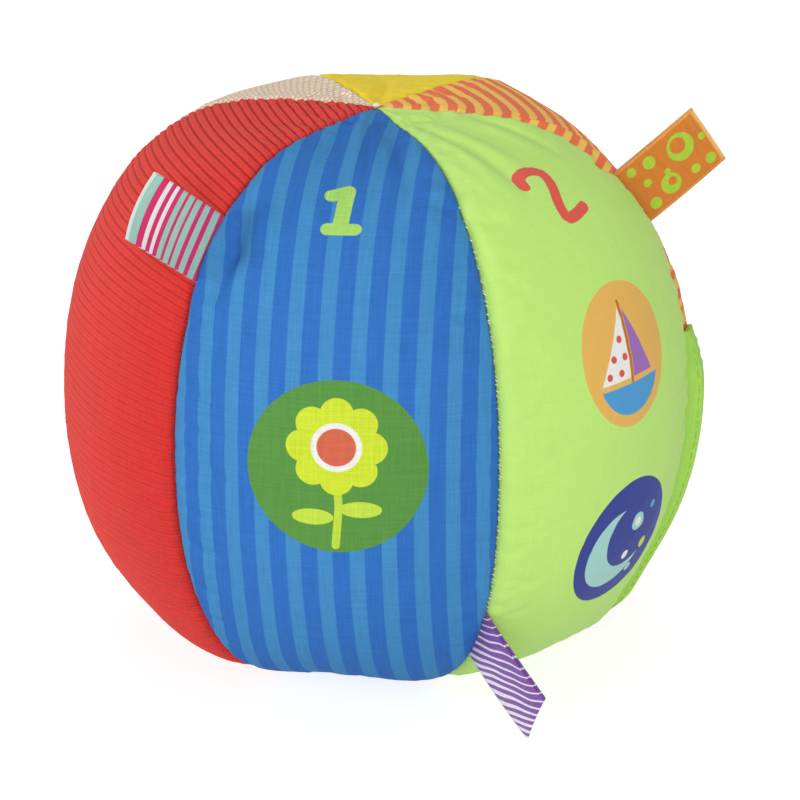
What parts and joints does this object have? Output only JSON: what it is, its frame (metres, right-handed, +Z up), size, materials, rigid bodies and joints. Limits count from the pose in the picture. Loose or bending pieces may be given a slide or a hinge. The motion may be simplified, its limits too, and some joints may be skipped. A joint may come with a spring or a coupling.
{
  "type": "soft musical ball",
  "caption": "Soft stuffed baby ball sewn from coloured fabric gores, with folded ribbon tags in its seams and a touch-tape pocket for a battery sound module.",
  "frame": {"origin": "centre of the flattened underside that the ball rests on, on the ball axis", "axes": "+Z up through the poles, -Y out of the middle of the blue panel, +X out of the seam that carries the closure"},
  "size_m": [0.1549, 0.1508, 0.1341],
  "materials": {
    "fabric_blue": "woven print",
    "fabric_green": "satin weave",
    "fabric_orange": "woven print",
    "fabric_yellow": "fine knit",
    "fabric_beige": "waffle mesh",
    "fabric_red": "rib knit",
    "thread": "sewing thread",
    "flap_green": "satin weave",
    "loop_tape": "loop pile",
    "hook_tape": "hook pile",
    "ribbon_pink": "grosgrain ribbon",
    "ribbon_orange": "satin ribbon",
    "ribbon_purple": "satin ribbon",
    "fibre": "polyester fibre fill",
    "pouch_cloth": "plain weave",
    "case_plastic": "moulded",
    "screw_steel": "zinc plated",
    "contact_steel": "nickel plated",
    "cell_can": "printed sleeve",
    "board": "solder mask",
    "chip_resin": "cast resin",
    "cap_plastic": "moulded",
    "speaker_steel": "pressed steel",
    "magnet": "plated",
    "cone_paper": "pulp cone",
    "switch_metal": "pressed can",
    "knob_plastic": "moulded",
    "lead_red": "insulated wire",
    "lead_black": "insulated wire"
  },
  "bodies": {
    "ball": {"panel_blue": "fabric_blue", "panel_green": "fabric_green", "panel_orange": "fabric_orange", "panel_yellow": "fabric_yellow", "panel_beige": "fabric_beige", "panel_red": "fabric_red", "pole_tack_top": "thread", "pole_tack_bottom": "thread", "loop_tape": "loop_tape", "stuffing": "fibre", "module_pouch": "pouch_cloth", "case_back": "case_plastic", "case_front": "case_plastic", "case_screw_1": "screw_steel", "case_screw_2": "screw_steel", "case_screw_3": "screw_steel", "case_screw_4": "screw_steel", "contact_bridge": "contact_steel", "contact_positive": "contact_steel", "contact_negative": "contact_steel", "contact_spring_1": "contact_steel", "contact_spring_2": "contact_steel", "battery_cell_1": "cell_can", "battery_cell_2": "cell_can", "circuit_board": "board", "sound_chip": "chip_resin", "motion_switch_can": "contact_steel", "motion_switch_cap": "cap_plastic", "speaker_basket": "speaker_steel", "speaker_magnet": "magnet", "switch_body": "switch_metal", "lead_battery_positive": "lead_red", "lead_battery_negative": "lead_black", "lead_speaker_1": "lead_red", "lead_speaker_2": "lead_black"},
    "tag_pink": {"tag_pink": "ribbon_pink"},
    "tag_orange": {"tag_orange": "ribbon_orange"},
    "tag_purple": {"tag_purple": "ribbon_purple"},
    "closure_flap": {"closure_flap": "flap_green", "hook_tape": "hook_tape"},
    "battery_door": {"battery_door": "case_plastic"},
    "battery_door_screw": {"battery_door_screw": "screw_steel"},
    "switch_knob": {"switch_knob": "knob_plastic"},
    "motion_ball": {"motion_switch_ball": "contact_steel"},
    "speaker_cone": {"speaker_cone": "cone_paper"}
  },
  "joints": [
    {"name": "tag_pink_flick", "type": "hinge", "parent": "ball", "child": "tag_pink", "pos_m": [-0.03036, -0.05258, 0.11431], "axis": [0.3111, 0.5388, 0.7829], "range_deg": [-57, 73], "stiffness_Nm_per_rad": 0.0005},
    {"name": "tag_orange_flick", "type": "hinge", "parent": "ball", "child": "tag_orange", "pos_m": [0.05982, 0.00844, 0.11058], "axis": [-0.5099, -0.2747, 0.8152], "range_deg": [-72, 50], "stiffness_Nm_per_rad": 0.0005},
    {"name": "tag_purple_flick", "type": "hinge", "parent": "ball", "child": "tag_purple", "pos_m": [0.03215, -0.05569, 0.0238], "axis": [0.2645, -0.4581, 0.8487], "range_deg": [-75, 54], "stiffness_Nm_per_rad": 0.0005},
    {"name": "closure_open", "type": "hinge", "parent": "ball", "child": "closure_flap", "pos_m": [0.07243, 0, 0.03904], "axis": [-0.276, 0, -0.9611], "range_deg": [0, 100], "stiffness_Nm_per_rad": 0.001},
    {"name": "battery_door_lift", "type": "slide", "parent": "ball", "child": "battery_door", "axis": [1, 0, 0], "range_m": [0, 0.01]},
    {"name": "battery_door_screw_turn", "type": "hinge", "parent": "battery_door", "child": "battery_door_screw", "pos_m": [0.04815, -0.00747, 0.08385], "axis": [1, 0, 0], "continuous": true},
    {"name": "switch_slide", "type": "slide", "parent": "ball", "child": "switch_knob", "axis": [0, 1, 0], "range_m": [0, 0.0024]},
    {"name": "motion_ball_roll", "type": "slide", "parent": "ball", "child": "motion_ball", "axis": [0, 0, 1], "range_m": [0, 0.0036]},
    {"name": "speaker_cone_drive", "type": "slide", "parent": "ball", "child": "speaker_cone", "axis": [1, 0, 0], "range_m": [-0.0005, 0.0005], "stiffness_N_per_m": 200}
  ]
}
